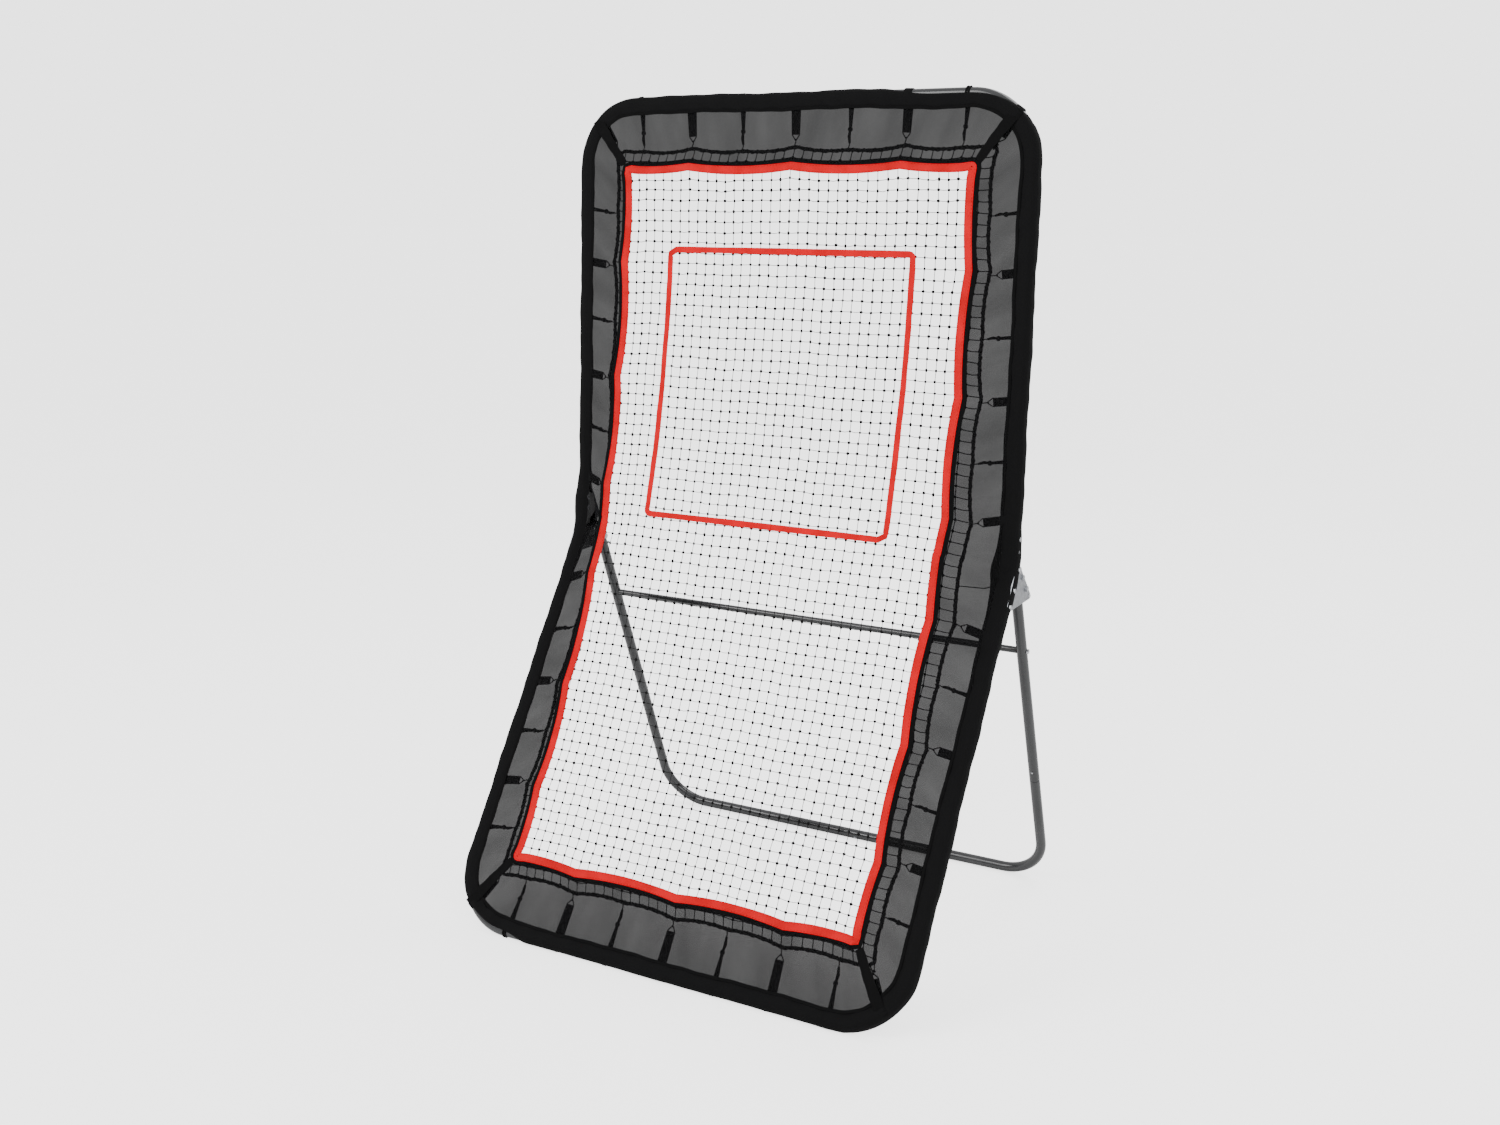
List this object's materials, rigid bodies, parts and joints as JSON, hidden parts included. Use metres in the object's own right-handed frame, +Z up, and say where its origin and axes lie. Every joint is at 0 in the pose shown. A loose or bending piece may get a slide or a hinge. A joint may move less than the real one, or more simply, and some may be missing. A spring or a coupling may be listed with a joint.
{
  "type": "pitching target net",
  "caption": "Free-standing pitching target: a knotted net with a red strike zone in a bent, hinged tube frame, propped by a folding rear leg.",
  "frame": {"origin": "on the floor, under the middle of the whole object's box", "axes": "+X to the right seen from the pitcher, +Y to the back, away from the pitcher, +Z up"},
  "size_m": [1.2172, 0.9822, 1.9546],
  "materials": {
    "frame_paint": "gloss black powder coat",
    "zinc_plate": "zinc plated",
    "fastener_steel": "zinc plated",
    "black_plastic": "moulded",
    "black_webbing": "woven polyester",
    "grey_mesh": "see-through polyester mesh",
    "red_webbing": "woven polyester",
    "black_cord": "knotted and twisted cord",
    "spring_steel": "blued spring steel"
  },
  "bodies": {
    "lower_frame": {"lower_frame_left_tube": "frame_paint", "lower_frame_right_tube": "frame_paint", "lower_frame_sleeve": "black_webbing", "lower_mesh_cover": "grey_mesh", "lower_border_webbing": "red_webbing", "lower_net": "black_cord", "lower_edge_rope": "black_cord", "left_lower_bracket": "zinc_plate", "left_hinge_bolt": "fastener_steel", "left_hinge_bush": "black_plastic", "left_leg_pivot_bolt": "fastener_steel", "left_leg_spacer": "black_plastic", "left_clamp_bolt": "fastener_steel", "left_leg_stop_pin": "fastener_steel", "left_lower_bracket_bolt_1": "fastener_steel", "left_lower_bracket_bolt_2": "fastener_steel", "right_lower_bracket": "zinc_plate", "right_hinge_bolt": "fastener_steel", "right_hinge_bush": "black_plastic", "right_leg_pivot_bolt": "fastener_steel", "right_leg_spacer": "black_plastic", "right_clamp_bolt": "fastener_steel", "right_leg_stop_pin": "fastener_steel", "right_lower_bracket_bolt_1": "fastener_steel", "right_lower_bracket_bolt_2": "fastener_steel"},
    "upper_frame": {"upper_frame_left_tube": "frame_paint", "upper_frame_right_tube": "frame_paint", "upper_frame_sleeve": "black_webbing", "upper_mesh_cover": "grey_mesh", "upper_border_webbing": "red_webbing", "upper_net": "black_cord", "upper_edge_rope": "black_cord", "strike_zone_ribbon": "red_webbing", "left_upper_bracket": "zinc_plate", "left_upper_bracket_bolt_1": "fastener_steel", "left_upper_bracket_bolt_2": "fastener_steel", "right_upper_bracket": "zinc_plate", "right_upper_bracket_bolt_1": "fastener_steel", "right_upper_bracket_bolt_2": "fastener_steel"},
    "rear_leg": {"leg_left_upper_tube": "frame_paint", "leg_right_upper_tube": "frame_paint", "leg_left_bow": "frame_paint", "leg_right_bow": "frame_paint", "leg_cross_bar": "frame_paint", "left_cross_bar_bolt": "fastener_steel", "right_cross_bar_bolt": "fastener_steel"},
    "left_lock_knob": {"left_lock_knob": "black_plastic"},
    "right_lock_knob": {"right_lock_knob": "black_plastic"},
    "lower_frame_button": {"lower_frame_snap_button": "fastener_steel", "lower_frame_button_spring": "spring_steel"},
    "upper_frame_button": {"upper_frame_snap_button": "fastener_steel", "upper_frame_button_spring": "spring_steel"},
    "leg_left_button": {"leg_left_snap_button": "fastener_steel", "leg_left_button_spring": "spring_steel"},
    "leg_right_button": {"leg_right_snap_button": "fastener_steel", "leg_right_button_spring": "spring_steel"},
    "leg_foot_button": {"leg_foot_snap_button": "fastener_steel", "leg_foot_button_spring": "spring_steel"}
  },
  "joints": [
    {"name": "upper_tilt", "type": "hinge", "parent": "lower_frame", "child": "upper_frame", "pos_m": [0, 0.10603, 0.9], "axis": [1, 0, 0], "range_deg": [-30, 30]},
    {"name": "leg_fold", "type": "hinge", "parent": "lower_frame", "child": "rear_leg", "pos_m": [0, 0.15933, 0.8453], "axis": [1, 0, 0], "range_deg": [-54, 0]},
    {"name": "left_knob_turn", "type": "hinge", "parent": "lower_frame", "child": "left_lock_knob", "pos_m": [0, 0.13284, 0.8775], "axis": [1, 0, 0], "continuous": true},
    {"name": "right_knob_turn", "type": "hinge", "parent": "lower_frame", "child": "right_lock_knob", "pos_m": [0, 0.13284, 0.8775], "axis": [1, 0, 0], "continuous": true},
    {"name": "lower_frame_button_press", "type": "slide", "parent": "lower_frame", "child": "lower_frame_button", "axis": [0, -0.8387, 0.5446], "range_m": [0, 0.0035], "stiffness_N_per_m": 1500, "springref_m": -0.002},
    {"name": "upper_frame_button_press", "type": "slide", "parent": "upper_frame", "child": "upper_frame_button", "axis": [0, -0.9986, 0.0523], "range_m": [0, 0.0035], "stiffness_N_per_m": 1500, "springref_m": -0.002},
    {"name": "leg_left_button_press", "type": "slide", "parent": "rear_leg", "child": "leg_left_button", "axis": [0, 0.9337, 0.3581], "range_m": [0, 0.0035], "stiffness_N_per_m": 1500, "springref_m": -0.002},
    {"name": "leg_right_button_press", "type": "slide", "parent": "rear_leg", "child": "leg_right_button", "axis": [0, 0.9337, 0.3581], "range_m": [0, 0.0035], "stiffness_N_per_m": 1500, "springref_m": -0.002},
    {"name": "leg_foot_button_press", "type": "slide", "parent": "rear_leg", "child": "leg_foot_button", "axis": [0, 0.9337, 0.3581], "range_m": [0, 0.0035], "stiffness_N_per_m": 1500, "springref_m": -0.002}
  ]
}
